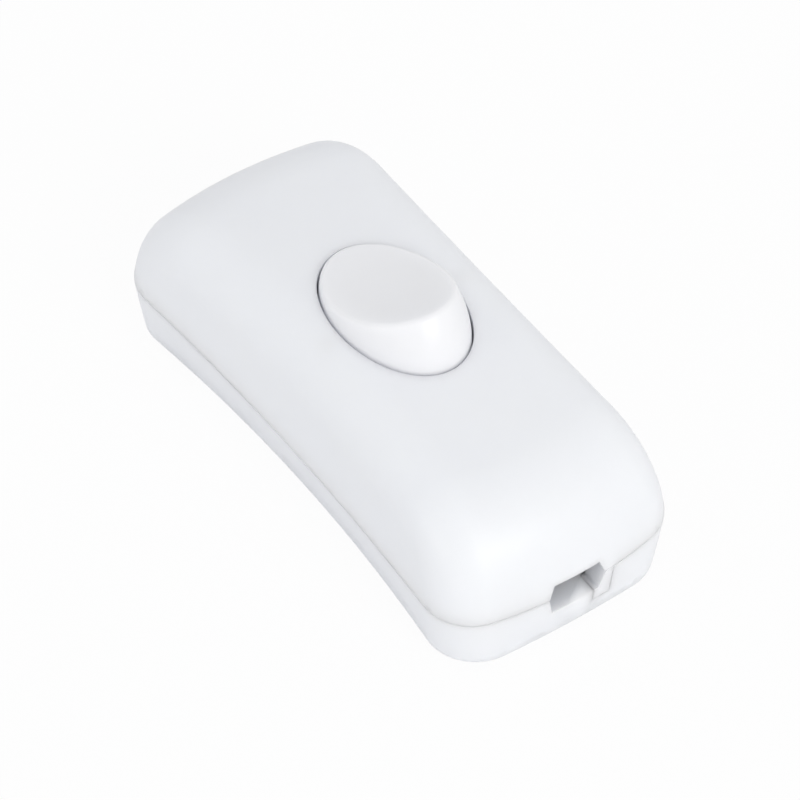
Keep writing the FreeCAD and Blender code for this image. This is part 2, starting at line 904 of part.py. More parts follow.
half_crest = root(rocker_radius * rocker_radius - s.crest_rise * s.crest_rise)
dish_radius = (half_crest * half_crest + s.dish_depth * s.dish_depth) / (2 * s.dish_depth)
dish_low = s.crest_rise - s.dish_depth
body_round = primitive(
    "Part::Ellipsoid", "rocker_round", Radius1=rocker_radius, Radius2=rocker_radius, Radius3=rocker_half_width
)
dish = primitive(
    "Part::Cylinder", "dish", y=s.opening_width, z=dish_low + dish_radius, Radius=dish_radius,
    Height=2 * s.opening_width,
)
turn(dish, 1, 0, 0, 90)
dished = cut("dished", body_round, dish)
crest = document.addObject("Part::Fillet", "crest")
crest.Base = dished
crest.Edges = [
    (index + 1, s.crest_round.value, s.crest_round.value)
    for index, edge in enumerate(dished.Shape.Edges)
    if edge.CenterOfMass.z > dish_low.value - 0.2
]
checked(crest)
below = box(
    "below_skirt", sized(0.0), sized(0.0), -s.skirt_drop - far_past, far_past, far_past, far_past
)
recess_round = primitive(
    "Part::Ellipsoid", "recess_round", Radius1=rocker_radius - s.rocker_wall,
    Radius2=rocker_radius - s.rocker_wall, Radius3=rocker_half_width - s.rocker_wall,
)
recess_top = dish_low - s.rocker_wall
over = box("over_recess", sized(0.0), sized(0.0), recess_top, far_past, far_past, far_past)
recess = cut("recess", recess_round, over)
shell = cut("rocker_shell", crest, fuse("rocker_tools", below, recess))
stem = primitive(
    "Part::Cylinder", "stem", z=-stem_drop, Radius=s.stem_radius, Height=stem_drop + recess_top + 0.5
)
trunnions = []
for side in (1, -1):
    root_y = (rocker_half_width - s.rocker_wall / 2) * side
    trunnion = primitive(
        "Part::Cylinder", f"trunnion_{side + 2}", y=root_y, Radius=s.trunnion_radius,
        Height=s.trunnion_reach - rocker_half_width + s.rocker_wall / 2,
    )
    turn(trunnion, 1, 0, 0, -90 * side)
    trunnions.append(trunnion)
rocker_solid = fuse("rocker_solid", shell, stem, *trunnions)
bore = primitive(
    "Part::Cylinder", "plunger_bore", z=-stem_drop - 1.0, Radius=s.plunger_radius + s.plunger_gap,
    Height=stem_drop + 1.0 + s.bore_top,
)
rocker_button = cut("rocker_button", rocker_solid, bore)
at_pivot(rocker_button)

# Plunger and spring, in the rocker's stem

plunger_top = s.plunger_length - plunger_reach
plunger_pin = primitive(
    "Part::Cylinder", "plunger_pin", z=-nose_reach, Radius=s.plunger_radius, Height=plunger_top + nose_reach
)
nose = primitive("Part::Sphere", "nose", z=-nose_reach, Radius=s.plunger_radius)
spigot = primitive(
    "Part::Cylinder", "spigot", z=plunger_top, Radius=s.spigot_radius, Height=s.spigot_height
)
rocker_plunger = fuse("rocker_plunger", plunger_pin, nose, spigot)
at_pivot(rocker_plunger)

coil_radius = s.plunger_radius - s.spring_wire - s.spring_gap
coil_low = plunger_top + s.spring_wire + s.spring_gap
coil_height = s.bore_top - plunger_top - 2 * (s.spring_wire + s.spring_gap)
coil = primitive(
    "Part::Helix", "coil", z=coil_low, Radius=coil_radius, Height=coil_height, Pitch=coil_height / s.spring_turns
)
coil.SegmentLength = 1
# the wire is eight-sided, which keeps so small a sweep light
wire = primitive("Part::RegularPolygon", "wire", x=coil_radius, z=coil_low, Circumradius=s.spring_wire)
wire.Polygon = 8
turn(wire, 1, 0, 0, 90)
document.recompute()
plunger_spring = document.addObject("Part::Sweep", "plunger_spring")
plunger_spring.Sections = [wire]
plunger_spring.Spine = (coil, [f"Edge{index + 1}" for index in range(len(coil.Shape.Edges))])
plunger_spring.Solid = True
plunger_spring.Frenet = True
checked(plunger_spring)
at_pivot(plunger_spring)

# The seesaw contact: a shallow vee with a side tab each way at its middle


def at_seesaw(item):
    place(item, z=seesaw_height)
    turn(item, 0, 1, 0, s.seesaw_tilt)


seesaw_strip = new_body("seesaw_strip")
run = cosine(s.seesaw_bend) * s.seesaw_arm
rise = sine(s.seesaw_bend) * s.seesaw_arm
skew_x = sine(s.seesaw_bend) * half_strip
skew_z = cosine(s.seesaw_bend) * half_strip
knee = half_strip / cosine(s.seesaw_bend)
plate(
    seesaw_strip, "XZ_Plane", "vee", sized(0.0), s.seesaw_width,
    [
        (0, -knee),
        (run + skew_x, rise - skew_z),
        (run - skew_x, rise + skew_z),
        (0, knee),
        (skew_x - run, rise + skew_z),
        (-run - skew_x, rise - skew_z),
    ],
    both=True,
)
tabs = new_sketch(seesaw_strip, "XZ_Plane", "tabs", sized(0.0))
draw_circle(tabs, 0, 0, s.tab_radius)
pad(seesaw_strip, tabs, 2 * s.tab_reach, both=True)


def arm_end_corner(edge):
    return near(edge.Length, s.strip_thickness.value) and abs(edge.CenterOfMass.x) > run.value - 1.0


fillet(seesaw_strip, "arm_ends", s.arm_end_round, arm_end_corner)
rivet_hole = primitive(
    "Part::Cylinder", "rivet_hole", x=-cosine(s.seesaw_bend) * s.rivet_reach - skew_x * 3,
    z=sine(s.seesaw_bend) * s.rivet_reach - skew_z * 3, Radius=s.rivet_shank + s.rivet_gap,
    Height=s.strip_thickness * 3,
)
turn(rivet_hole, 0, 1, 0, s.seesaw_bend)
seesaw_contact = cut("seesaw_contact", seesaw_strip, rivet_hole)
at_seesaw(seesaw_contact)


def rivet(name, head_below):
    # A contact rivet through a strip whose middle is at the origin.
    sign = -1 if head_below else 1
    face = (half_strip + s.rivet_height) * sign
    seat = half_strip * sign
    back = -half_strip * sign
    upset = -(half_strip + s.rivet_upset_height) * sign
    body = new_body(name)
    turned(
        body, "profile",
        [
            (0, face),
            (s.rivet_radius, face),
            (s.rivet_radius, seat),
            (s.rivet_shank, seat),
            (s.rivet_shank, back),
            (s.rivet_upset_radius, back),
            (s.rivet_upset_radius, upset),
            (0, upset),
        ],
    )
    return body


seesaw_rivet = rivet("seesaw_rivet", True)
rest_slope = s.seesaw_bend + s.seesaw_tilt
place(
    seesaw_rivet, x=-cosine(rest_slope) * s.rivet_reach, z=seesaw_height + sine(rest_slope) * s.rivet_reach
)
turn(seesaw_rivet, 0, 1, 0, rest_slope)
fixed_rivet = rivet("fixed_rivet", False)
place(fixed_rivet, x=-closed_contact_x, z=plate_top - half_strip)

# Terminals


def pillar(body, name, middle_x, middle_y, length, width, seat, height, screw_places):
    # A brass block with rounded uprights, a wire bore along X and a threaded hole down to it.
    sketch = new_sketch(body, "XY_Plane", name, seat)
    half = length / 2
    low = middle_y - width / 2
    high = middle_y + width / 2
    draw_rectangle(sketch, middle_x - half, middle_x + half, low, high)
    pad(body, sketch, height)

    def block_edge(edge):
        middle = edge.CenterOfMass
        across = abs(abs(middle.y - middle_y.value) - width.value / 2)
        along = abs(abs(middle.x - middle_x.value) - half.value)
        return upright(edge) and across < 0.02 and along < 0.02 and near(edge.Length, height.value)

    bores = new_sketch(body, "YZ_Plane", name + "_bore", middle_x - length)
    draw_circle(bores, middle_y, seat + s.wire_bore_lift, s.wire_bore)
    pocket(body, bores, length * 2, backwards=True)
    threads = new_sketch(body, "XY_Plane", name + "_threads", seat + s.wire_bore_lift)
    for place_x in screw_places:
        draw_circle(threads, place_x, middle_y, s.terminal_screw_radius + s.thread_gap)
    pocket(body, threads, height, backwards=True)
    return block_edge


cradle_terminal = new_body("cradle_terminal")
block_low_y = s.block_y - s.block_width / 2
block_high_y = s.block_y + s.block_width / 2
near_block_x = s.block_x - s.block_length / 2
turn_x = near_block_x - s.block_width
plate(
    cradle_terminal, "XY_Plane", "strip", s.terminal_seat, s.strip_thickness,
    [
        (-s.strip_end, -ear_outer),
        (tongue_end, -ear_outer),
        (tongue_end, block_low_y),
        (near_block_x + s.block_round, block_low_y),
        (near_block_x + s.block_round, block_high_y),
        (turn_x, block_high_y),
        (turn_x, ear_outer),
        (-s.strip_end, ear_outer),
    ],
)
notch = s.tab_radius + s.tab_gap
ear_half = s.ear_width / 2
ear_top = seesaw_height + s.ear_rise
for side in (1, -1):
    # the sketch plane faces -Y, so the lift is taken the other way
    ear_lift = -ear_outer if side == 1 else ear_outer - s.ear_thickness
    plate(
        cradle_terminal, "XZ_Plane", f"ear_{side + 2}", ear_lift, s.ear_thickness,
        [
            (-ear_half, s.terminal_seat),
            (ear_half, s.terminal_seat),
            (ear_half / 2, ear_top),
            (notch, ear_top),
            (notch, seesaw_height),
            (notch / 2, seesaw_height - notch),
            (-notch / 2, seesaw_height - notch),
            (-notch, seesaw_height),
            (-notch, ear_top),
            (-ear_half / 2, ear_top),
        ],
    )
rest_height = (
    seesaw_height + sine(arm_slope) * s.tongue_x - half_strip / cosine(arm_slope) - s.rest_gap
)
tongue = new_sketch(cradle_terminal, "XY_Plane", "tongue", s.terminal_seat)
draw_rectangle(
    tongue, s.tongue_x - s.tongue_length / 2, s.tongue_x + s.tongue_length / 2, -s.tongue_width / 2,
    s.tongue_width / 2,
)
pad(cradle_terminal, tongue, rest_height - s.terminal_seat)
pillar(
    cradle_terminal, "pillar", s.block_x, s.block_y, s.block_length, s.block_width, s.terminal_seat,
    s.block_height, [s.block_x],
)

fixed_terminal = new_body("fixed_terminal")
plate(
    fixed_terminal, "XY_Plane", "plate", plate_low, s.strip_thickness,
    [
        (plate_inner, -s.plate_width / 2),
        (plate_inner, s.plate_width / 2),
        (plate_outer + s.plate_arm, s.plate_width / 2),
        (plate_outer + s.plate_arm, block_high_y),
        (plate_outer - s.block_round, block_high_y),
        (plate_outer - s.block_round, -s.plate_width / 2),
    ],
)
contact_hole = new_sketch(fixed_terminal, "XY_Plane", "contact_hole", plate_low)
draw_circle(contact_hole, -closed_contact_x, 0, s.rivet_shank + s.rivet_gap)
pocket(fixed_terminal, contact_hole, s.strip_thickness, backwards=True)
pillar(
    fixed_terminal, "pillar", -s.block_x, s.block_y, s.block_length, s.block_width, s.terminal_seat,
    s.block_height, [-s.block_x],
)

neutral_terminal = new_body("neutral_terminal")
pillar(
    neutral_terminal, "pillar", sized(0.0), -s.neutral_y, s.neutral_length, s.neutral_width, s.neutral_seat,
    s.neutral_height, [s.neutral_screw_x, -s.neutral_screw_x],
)

# Cord clamps and screws


def cord_clamp(name, middle_x):
    body = new_body(name)
    half = s.clamp_width / 2
    side = s.clamp_length / 2
    sketch = new_sketch(body, "XY_Plane", "bar", post_top)
    draw_rectangle(sketch, middle_x - half, middle_x + half, -side, side)
    pad(body, sketch, s.clamp_thickness)
    fillet(body, "bar_ends", s.clamp_round, upright)
    ridge = new_sketch(body, "XY_Plane", "ridge", post_top - s.clamp_ridge)
    ridge_side = s.entry_base_width / 2
    ridge_half = s.grip_rib_width / 2
    draw_rectangle(ridge, middle_x - ridge_half, middle_x + ridge_half, -ridge_side, ridge_side)
    pad(body, ridge, s.clamp_ridge)
    holes = new_sketch(body, "XY_Plane", "holes", post_top)
    for end in (1, -1):
        draw_circle(holes, middle_x, clamp_screw_y * end, s.clamp_screw_radius + s.clearance)
    pocket(body, holes, s.clamp_thickness, backwards=True)
    return body


def slotted_screw(name, radius, length, head_radius, head_height):
    # Cheese head seated at the origin, with its shank down -Z.
    body = new_body(name)
    tip = radius / 2
    edge = head_height / 4
    turned(
        body, "profile",
        [
            (0, -length),
            (tip, -length),
            (radius, s.point_length - length),
            (radius, 0),
            (head_radius, 0),
            (head_radius, head_height - edge),
            (head_radius - edge, head_height),
            (0, head_height),
        ],
    )
    half = s.slot_width / 2
    plate(
        body, "XZ_Plane", "slot", sized(0.0), head_radius * 3,
        [
            (-half, head_height - s.slot_depth),
            (half, head_height - s.slot_depth),
            (half, head_height * 2),
            (-half, head_height * 2),
        ],
        kind="PartDesign::Pocket", both=True,
    )
    return body


def terminal_screw(name, x, y, z):
    body = slotted_screw(
        name, s.terminal_screw_radius, s.terminal_screw_length, s.terminal_head_radius, s.terminal_head_height
    )
    place(body, x, y, z)
    return body


def clamp_screw(name, end, side):
    body = slotted_screw(
        name, s.clamp_screw_radius, s.clamp_screw_length, s.clamp_head_radius, s.clamp_head_height
    )
    place(body, s.clamp_x * end, clamp_screw_y * side, post_top + s.clamp_thickness)
    return body


def closing_screw(name, sign):
    body = slotted_screw(
        name, s.closing_screw_radius, s.closing_screw_length, s.closing_head_radius, s.closing_head_height
    )
    place(body, closing_x * sign, -closing_y * sign, s.counterbore_depth)
    turn(body, 1, 0, 0, 180)
    return body


pieces = [
    upper_shell,
    lower_shell,
    rocker_button,
    rocker_plunger,
    plunger_spring,
    seesaw_contact,
    seesaw_rivet,
    fixed_rivet,
    cradle_terminal,
    fixed_terminal,
    neutral_terminal,
    cord_clamp("cord_clamp_near", s.clamp_x),
    cord_clamp("cord_clamp_far", -s.clamp_x),
    terminal_screw("live_in_screw", s.block_x, s.block_y, block_top),
    terminal_screw("live_out_screw", -s.block_x, s.block_y, block_top),
    terminal_screw("neutral_in_screw", s.neutral_screw_x, -s.neutral_y, neutral_top),
    terminal_screw("neutral_out_screw", -s.neutral_screw_x, -s.neutral_y, neutral_top),
    clamp_screw("clamp_screw_near_left", 1, -1),
    clamp_screw("clamp_screw_near_right", 1, 1),
    clamp_screw("clamp_screw_far_left", -1, -1),
    clamp_screw("clamp_screw_far_right", -1, 1),
    closing_screw("closing_screw_near", 1),
    closing_screw("closing_screw_far", -1),
]

document.recompute()
for item in document.Objects:
    if "Invalid" in item.State or "Error" in item.State:
        raise RuntimeError(f"{item.Label} failed: {item.State}")
for piece in pieces:
    if piece.Shape.isNull() or not piece.Shape.isValid():
        raise RuntimeError(f"{piece.Label} is not a valid shape")

os.makedirs("parts", exist_ok=True)
for piece in pieces:
    piece.Shape.exportStep(f"parts/{piece.Label}.step")
    print(piece.Label, len(piece.Shape.Solids), round(piece.Shape.Volume, 2))
print("seesaw pivot height", round(seesaw_height.value, 4))
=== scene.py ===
import json
import math
import bmesh
import bpy
import numpy as np
from mathutils import Matrix, Vector


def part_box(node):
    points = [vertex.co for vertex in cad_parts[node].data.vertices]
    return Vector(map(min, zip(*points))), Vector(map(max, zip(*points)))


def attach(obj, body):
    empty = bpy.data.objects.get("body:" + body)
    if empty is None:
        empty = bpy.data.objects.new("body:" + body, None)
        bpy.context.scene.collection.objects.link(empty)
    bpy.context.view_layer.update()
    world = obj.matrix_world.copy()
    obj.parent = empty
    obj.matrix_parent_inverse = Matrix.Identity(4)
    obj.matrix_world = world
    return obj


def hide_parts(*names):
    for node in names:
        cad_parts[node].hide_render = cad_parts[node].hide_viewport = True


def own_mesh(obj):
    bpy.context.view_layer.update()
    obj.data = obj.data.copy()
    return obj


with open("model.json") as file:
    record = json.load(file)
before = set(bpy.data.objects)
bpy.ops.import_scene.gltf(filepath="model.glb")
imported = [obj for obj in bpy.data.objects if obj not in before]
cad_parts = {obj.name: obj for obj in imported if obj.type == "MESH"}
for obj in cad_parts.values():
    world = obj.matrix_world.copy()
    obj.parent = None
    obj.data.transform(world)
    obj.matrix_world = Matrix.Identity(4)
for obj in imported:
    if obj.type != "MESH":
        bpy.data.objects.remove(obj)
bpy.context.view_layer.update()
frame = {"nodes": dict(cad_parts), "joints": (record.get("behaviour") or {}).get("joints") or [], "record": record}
scene = bpy.context.scene
scene.view_settings.view_transform = "Standard"

# Camera, at the photograph's viewing angle

camera = {
    "azimuth": 54.66,      # degrees from the far-left side round to the near end
    "elevation": 48.31,
    "roll": 0.48,
    "distance": 0.5847,
    "sensor": 36,          # millimetres, as the lens is
    "lens": 248.95,
    "aim": (0.0, 0.0, 0.0085),
    "aside": 0.000592,
    "lift": -0.001689,
    "clip": (0.01, 5),
}


def placeCamera(c):
    az, el, roll = (math.radians(c[key]) for key in ("azimuth", "elevation", "roll"))
    back = Vector((math.sin(az) * math.cos(el), -math.cos(az) * math.cos(el), math.sin(el)))
    flatRight = Vector((math.cos(az), math.sin(az), 0))
    flatUp = back.cross(flatRight)
    right = flatRight * math.cos(roll) + flatUp * math.sin(roll)
    up = back.cross(right)
    data = bpy.data.cameras.new("photoCamera")
    data.sensor_width = c["sensor"]
    data.lens = c["lens"]
    data.clip_start, data.clip_end = c["clip"]
    holder = bpy.data.objects.new("photoCamera", data)
    scene.collection.objects.link(holder)
    spot = Vector(c["aim"]) + right * c["aside"] + up * c["lift"] + back * c["distance"]
    turn = Matrix((right, up, back)).transposed()
    holder.matrix_world = Matrix.Translation(spot) @ turn.to_4x4()
    scene.camera = holder


placeCamera(camera)


# Node maths as plain expressions

class Socket:
    def __init__(self, tree, link):
        self.tree = tree
        self.link = link

    def maths(self, operation, *values):
        inputs = {f"in{place}": value for place, value in enumerate(values)}
        return makeNode(self.tree, "ShaderNodeMath", {"operation": operation}, **inputs)

    def __add__(self, other):
        return self.maths("ADD", self, other)

    def __radd__(self, other):
        return self.maths("ADD", other, self)

    def __sub__(self, other):
        return self.maths("SUBTRACT", self, other)

    def __rsub__(self, other):
        return self.maths("SUBTRACT", other, self)

    def __mul__(self, other):
        return self.maths("MULTIPLY", self, other)

    def __rmul__(self, other):
        return self.maths("MULTIPLY", other, self)

    def __truediv__(self, other):
        return self.maths("DIVIDE", self, other)

    def __rtruediv__(self, other):
        return self.maths("DIVIDE", other, self)

    def clamped(self):
        return self.maths("MINIMUM", self.maths("MAXIMUM", self, 0.0), 1.0)


def connect(tree, target, value):
    if isinstance(value, Socket):
        tree.links.new(value.link, target)
    elif target.type == "RGBA" and len(value) == 3:
        target.default_value = (*value, 1)
    else:
        target.default_value = value


def makeNode(tree, kind, settings=None, out=0, **inputs):
    # settings are set first; an input is named by its socket, with _ for a space, or in0, in1 by place
    made = tree.nodes.new(kind)
    for name, value in (settings or {}).items():
        setattr(made, name, value)
    for name, value in inputs.items():
        byPlace = name[:2] == "in" and name[2:].isdigit()
        connect(tree, made.inputs[int(name[2:]) if byPlace else name.replace("_", " ")], value)
    return Socket(tree, made.outputs[out]) if made.outputs else None


def mixColours(tree, factor, first, second):
    return makeNode(tree, "ShaderNodeMix", {"data_type": "RGBA"}, out=2, in0=factor, in6=first, in7=second)


def noise(tree, place, size, detail, roughness):
    return makeNode(
        tree, "ShaderNodeTexNoise", Vector=place, Scale=1 / size, Detail=detail, Roughness=roughness
    )


def newMaterial(name):
    made = bpy.data.materials.new(name)
    made.use_nodes = True
    made.node_tree.nodes.clear()
    return made, made.node_tree


def finishMaterial(tree, **inputs):
    surface = makeNode(tree, "ShaderNodeBsdfPrincipled", **inputs)
    makeNode(tree, "ShaderNodeOutputMaterial", Surface=surface)


# Satin mouldings: a faint drift of tone, the fine grain of the mould, and light that sinks in

plasticSurface = {
    "cloudSize": 0.011,        # patches of slightly different tone and gloss
    "cloudDetail": 2.0,
    "cloudRoughness": 0.4,
    "cloudGloss": 0.03,
    "grainDetail": 3.0,
    "grainRoughness": 0.55,
    "grainGloss": 0.04,
    "grainDepth": 0.00002,
    "refraction": 1.49,
}
plasticLooks = {
    "casingWhite": {
        "colour": (0.885, 0.9, 0.955),
        "shade": (0.87, 0.885, 0.94),
        "gloss": 0.36,
        "grain": 0.12,
        "grainSize": 0.00035,
        "depth": 0.0012,
    },
    "rockerWhite": {
        "colour": (0.905, 0.91, 0.96),
        "shade": (0.89, 0.895, 0.945),
        "gloss": 0.3,
        "grain": 0.08,
        "grainSize": 0.0004,
        "depth": 0.0012,
    },
    "plungerNylon": {
        "colour": (0.8, 0.78, 0.7),
        "shade": (0.74, 0.72, 0.64),
        "gloss": 0.45,
        "grain": 0.2,
        "grainSize": 0.0003,
        "depth": 0.0,
    },
    "clampNylon": {
        "colour": (0.76, 0.75, 0.7),
        "shade": (0.7, 0.69, 0.64),
        "gloss": 0.5,
        "grain": 0.25,
        "grainSize": 0.0003,
        "depth": 0.0,
    },
}


def mouldedPlastic(name, c, colour, shade, gloss, grain, grainSize, depth):
    made, tree = newMaterial(name)
    place = makeNode(tree, "ShaderNodeTexCoord", out="Object")
    cloud = noise(tree, place, c["cloudSize"], c["cloudDetail"], c["cloudRoughness"])
    fine = noise(tree, place, grainSize, c["grainDetail"], c["grainRoughness"])
    tone = mixColours(tree, cloud, colour, shade)
    rough = gloss + (cloud - 0.5) * c["cloudGloss"] + (fine - 0.5) * c["grainGloss"]
    bump = makeNode(tree, "ShaderNodeBump", Strength=grain, Distance=c["grainDepth"], Height=fine)
    finishMaterial(
        tree, Base_Color=tone, Roughness=rough, Normal=bump, IOR=c["refraction"],
        Subsurface_Weight=1.0 if depth else 0.0, Subsurface_Scale=depth, Subsurface_Radius=(1.0, 1.0, 1.0),
    )
    return made


# Bright metals: fine drawn or turned lines and a little tarnish

metalSurface = {
    "stretch": 9.0,            # how much closer the lines lie than they are long
    "stainSize": 0.0038,
    "stainDetail": 4.0,
    "stainRoughness": 0.6,
    "stainGloss": 0.22,
    "lineDetail": 3.0,
    "lineRoughness": 0.6,
    "lineGloss": 0.12,
    "lineDepth": 0.00003,
}
metalLooks = {
    "terminalBrass": {
        "colour": (0.78, 0.6, 0.3),
        "shade": (0.66, 0.48, 0.23),
        "gloss": 0.32,
        "lines": 0.3,
        "lineSize": 0.0004,
    },
    "contactCopper": {
        "colour": (0.78, 0.48, 0.33),
        "shade": (0.62, 0.34, 0.22),
        "gloss": 0.34,
        "lines": 0.25,
        "lineSize": 0.0004,
    },
    "contactSilver": {
        "colour": (0.88, 0.87, 0.84),
        "shade": (0.72, 0.71, 0.67),
        "gloss": 0.3,
        "lines": 0.15,
        "lineSize": 0.0003,
    },
    "zincPlate": {
        "colour": (0.74, 0.75, 0.78),
        "shade": (0.62, 0.63, 0.66),
        "gloss": 0.3,
        "lines": 0.25,
        "lineSize": 0.0003,
    },
    "springWire": {
        "colour": (0.55, 0.56, 0.58),
        "shade": (0.42, 0.43, 0.45),
        "gloss": 0.28,
        "lines": 0.3,
        "lineSize": 0.0002,
    },
}


def turnedMetal(name, c, colour, shade, gloss, lines, lineSize):
    made, tree = newMaterial(name)
    place = makeNode(tree, "ShaderNodeTexCoord", out="Object")
    layers = makeNode(tree, "ShaderNodeMapping", Vector=place, Scale=(1.0, 1.0, c["stretch"]))
    lay = noise(tree, layers, lineSize, c["lineDetail"], c["lineRoughness"])
    stain = noise(tree, place, c["stainSize"], c["stainDetail"], c["stainRoughness"])
    tone = mixColours(tree, stain, colour, shade)
    rough = gloss + (stain - 0.5) * c["stainGloss"] + (lay - 0.5) * c["lineGloss"]
    bump = makeNode(tree, "ShaderNodeBump", Strength=lines, Distance=c["lineDepth"], Height=lay)
    finishMaterial(tree, Base_Color=tone, Roughness=rough, Metallic=1.0, Normal=bump)
    return made


finishes = {name: mouldedPlastic(name, plasticSurface, **look) for name, look in plasticLooks.items()}
finishes.update({name: turnedMetal(name, metalSurface, **look) for name, look in metalLooks.items()})
slotFinishes = {
    "white_plastic": "casingWhite",
    "plunger_plastic": "plungerNylon",
    "clamp_plastic": "clampNylon",
    "spring_steel": "springWire",
    "plated_steel": "zincPlate",
    "brass": "terminalBrass",
    "copper_alloy": "contactCopper",
    "contact_silver": "contactSilver",
}

for part in frame["record"]["subparts"]:
    for holder in frame["nodes"][part["node"]].material_slots:
        holder.material = finishes[slotFinishes[part["material_slot"]]]
print("materials made:", ", ".join(finishes))


# What every piece goes through

def newPiece(name, mesh):
    piece = bpy.data.objects.new(name, mesh)
    scene.collection.objects.link(piece)
    return piece


def shadeSmooth(mesh, sharp):
    mesh.polygons.foreach_set("use_smooth", [True] * len(mesh.polygons))
    mesh.set_sharp_from_angle(angle=math.radians(sharp))


def applied(piece):
    # the mesh as its modifiers leave it, in place of the one they started from
    graph = bpy.context.evaluated_depsgraph_get()
    made = bpy.data.meshes.new_from_object(piece.evaluated_get(graph))
    piece.modifiers.clear()
    start = piece.data
    piece.data = made
    bpy.data.meshes.remove(start)
    made.name = piece.name
    return piece


def handOver(piece, finish, body, nodes):
    piece.data.materials.clear()
    piece.data.materials.append(finishes[finish])
    piece.data.polygons.foreach_set("material_index", [0] * len(piece.data.polygons))
    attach(piece, body)
    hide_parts(*nodes)


# Moulded pieces: joined copies of the solids with evened normals

moulding = {
    "merge": 0.000002,
    "sharp": 25.0,
    "evening": 100,            # how far the largest faces lead the normals
    "pieces": (
        ("coverShell", "upper_shell", "casingWhite", "housing"),
        ("trayShell", "lower_shell", "casingWhite", "housing"),
        ("rockerButton", "rocker_button", "rockerWhite", "rocker"),
    ),
}


def mouldedCopy(c, name, node, finish, body):
    mesh = frame["nodes"][node].data.copy()
    work = bmesh.new()
    work.from_mesh(mesh)
    bmesh.ops.remove_doubles(work, verts=work.verts, dist=c["merge"])
    bmesh.ops.dissolve_degenerate(work, edges=work.edges, dist=c["merge"])
    work.to_mesh(mesh)
    work.free()
    shadeSmooth(mesh, c["sharp"])
    piece = newPiece(name, mesh)
    evened = piece.modifiers.new("evened", "WEIGHTED_NORMAL")
    evened.mode = "FACE_AREA"
    evened.weight = c["evening"]
    evened.keep_sharp = True
    applied(piece)
    handOver(piece, finish, body, [node])


for piece in moulding["pieces"]:
    mouldedCopy(moulding, *piece)
print("moulded pieces made")


# Node trees for meshes

def startTree(name, **inputs):
    tree = bpy.data.node_groups.new(name, "GeometryNodeTree")
    for label, kind in inputs.items():
        tree.interface.new_socket(label, in_out="INPUT", socket_type="NodeSocket" + kind)
    tree.interface.new_socket("Result", in_out="OUTPUT", socket_type="NodeSocketGeometry")
    source = tree.nodes.new("NodeGroupInput")
    return tree, {label: Socket(tree, source.outputs[label]) for label in inputs}


def endTree(tree, shape, finish):
    whole = makeNode(tree, "GeometryNodeRealizeInstances", Geometry=shape)
    painted = makeNode(tree, "GeometryNodeSetMaterial", Geometry=whole, Material=finish)
    makeNode(tree, "NodeGroupOutput", Result=painted)


def grow(piece, tree, **settings):
    # settings go in by each socket's identifier, before the piece is first evaluated
    worker = piece.modifiers.new("grown", "NODES")
    worker.node_group = tree
    for item in tree.interface.items_tree:
        if item.in_out == "INPUT" and item.name in settings:
            worker[item.identifier] = settings[item.name]
    return applied(piece)


# Screws: each kind is turned once, with its thread and slot, and a node tree sets it out

terminalScrew = {
    "nodes": ("live_in_screw", "live_out_screw", "neutral_in_screw", "neutral_out_screw"),
    "headUp": True,
    "headRadius": 0.0019,
    "headHeight": 0.0014,
    "edge": 0.00016,           # rounding of the head and of the neck under it
    "edgeSteps": 3,
    "slotWidth": 0.0006,
    "slotDepth": 0.0007,
    "threadRadius": 0.0012,
    "threadDepth": 0.00019,
    "pitch": 0.0005,
    "runOut": 0.00035,         # length over which the thread fades at either end
    "pointLength": 0.0008,
    "tipRadius": 0.00045,
    "tipRound": 0.0001,
    "around": 32,              # points round it
    "steps": 6,                # rows to a pitch
    "merge": 0.000001,
    "sharp": 32.0,
    "seed": 4,                 # which way each slot points
}
clampScrew = {
    **terminalScrew,
    "nodes": (
        "clamp_screw_near_left", "clamp_screw_near_right", "clamp_screw_far_left", "clamp_screw_far_right",
    ),
    "threadRadius": 0.0011,
    "threadDepth": 0.00026,
    "pitch": 0.0008,
    "runOut": 0.0006,
    "tipRadius": 0.0004,
    "seed": 9,
}
closingScrew = {
    **terminalScrew,
    "nodes": ("closing_screw_near", "closing_screw_far"),
    "headUp": False,
    "headRadius": 0.0025,
    "headHeight": 0.0015,
    "threadRadius": 0.0013,
    "threadDepth": 0.0003,
    "pitch": 0.0009,
    "runOut": 0.0006,
    "seed": 2,
}


def headProfile(c, core):
    # radius and depth of each row, from the top's edge to the neck
    edge, radius, height, steps = c["edge"], c["headRadius"], c["headHeight"], c["edgeSteps"]
    bends = [math.pi / 2 * k / steps for k in range(steps + 1)]
    top = [(radius - edge * (1 - math.sin(bend)), edge * (1 - math.cos(bend))) for bend in bends]
    return top + [
        (radius, height - edge / 2),
        (radius - edge / 2, height),
        (core + edge, height),
        (core, height + edge),
    ]


def threadRows(c, core, start, end):
    # each row sinks by a pitch on its way round, and joins the row that is a pitch further down
    share = np.arange(c["around"]) / c["around"]
    pitches = math.ceil((end - start) / c["pitch"]) + 1
    rows = []
    for step in range(-c["steps"], pitches * c["steps"] + 1):
        depth = np.clip(start + (step / c["steps"] + share) * c["pitch"], start, end)
        crest = (1 - math.cos(2 * math.pi * step / c["steps"])) / 2
        fade = np.clip(np.minimum(depth - start, end - depth) / c["runOut"], 0, 1)
        rows.append((core + c["threadDepth"] * crest * fade, depth))
    return rows


def joinedRows(count, first, last, c):
    faces = []
    for row in range(count - 1):
        for k in range(c["around"]):
            after = (k + 1) % c["around"]
            climbs = first <= row < last and after == 0
            other = row + c["steps"] if climbs else row
            if other < last or row == last:
                corners = ((row, k), (row + 1, k), (other + 1, after), (other, after))
                faces.append([line * c["around"] + column for line, column in corners])
    return faces


